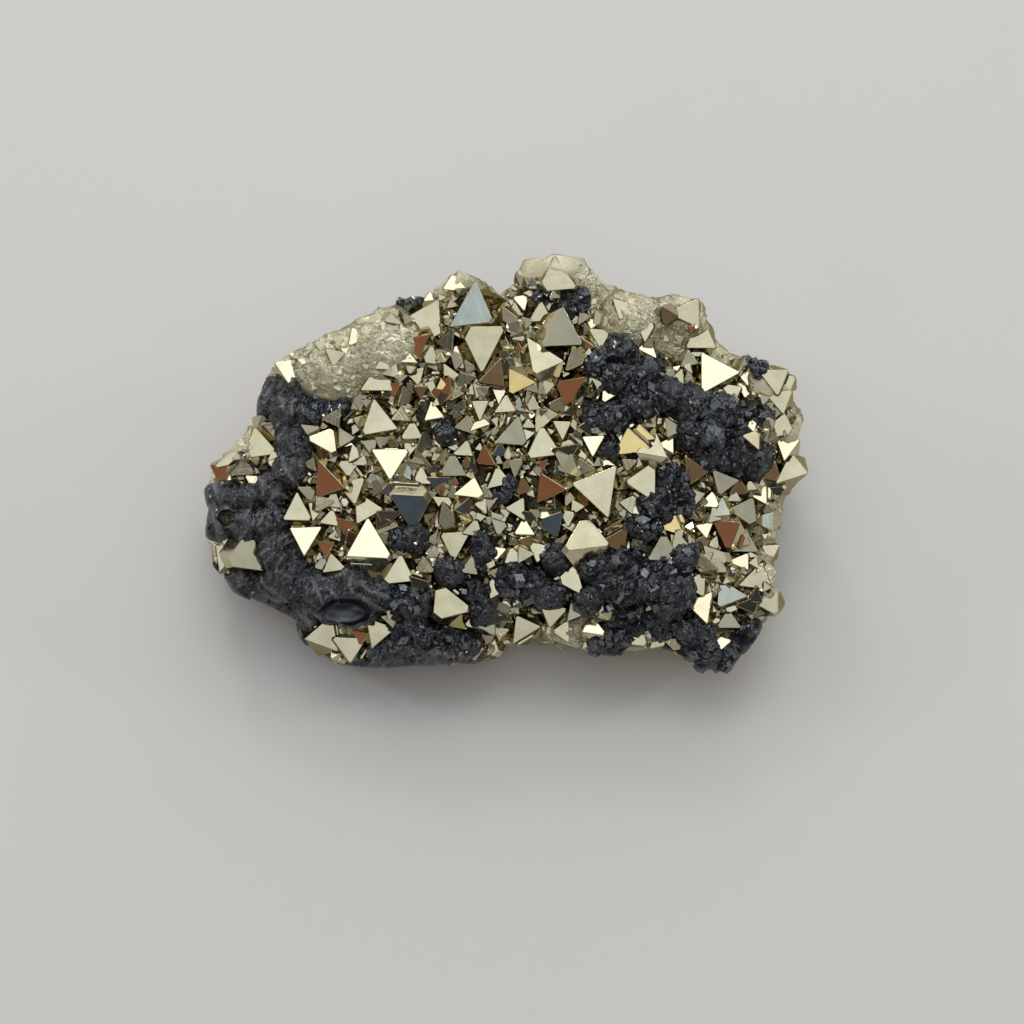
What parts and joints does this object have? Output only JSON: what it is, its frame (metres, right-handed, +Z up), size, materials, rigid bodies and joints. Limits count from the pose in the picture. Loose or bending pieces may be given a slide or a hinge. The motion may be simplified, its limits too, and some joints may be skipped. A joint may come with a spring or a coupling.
{
  "type": "mineral specimen",
  "caption": "Cabinet mineral specimen: octahedral pyrite crystals crowded over granular pyrite, with black sphalerite grown between them, lying on its broken base.",
  "frame": {"origin": "on the table, under the middle of the specimen's box", "axes": "+X to the right along the specimen's length, +Y to the back, +Z up; the crystal face looks up and leans 20 degrees towards -Y"},
  "size_m": [0.0896, 0.0612, 0.032],
  "materials": {
    "pyrite": "bright pale brass-yellow crystal faces on a sparkling granular mass",
    "sphalerite": "black, with a dull metallic to resinous shine"
  },
  "bodies": {
    "root": {"pyrite": "pyrite", "sphalerite_left": "sphalerite", "sphalerite_lower_right": "sphalerite", "sphalerite_right_centre": "sphalerite", "sphalerite_upper_right": "sphalerite", "sphalerite_foot_centre": "sphalerite", "sphalerite_foot_left": "sphalerite", "sphalerite_ball_foot": "sphalerite", "sphalerite_crest": "sphalerite", "sphalerite_notch": "sphalerite", "sphalerite_notch_left": "sphalerite", "sphalerite_shoulder": "sphalerite", "sphalerite_ball_upper": "sphalerite", "sphalerite_ball_middle": "sphalerite", "sphalerite_ball_left": "sphalerite", "sphalerite_ball_low": "sphalerite", "sphalerite_ball_centre": "sphalerite", "sphalerite_ball_right": "sphalerite"}
  },
  "joints": []
}
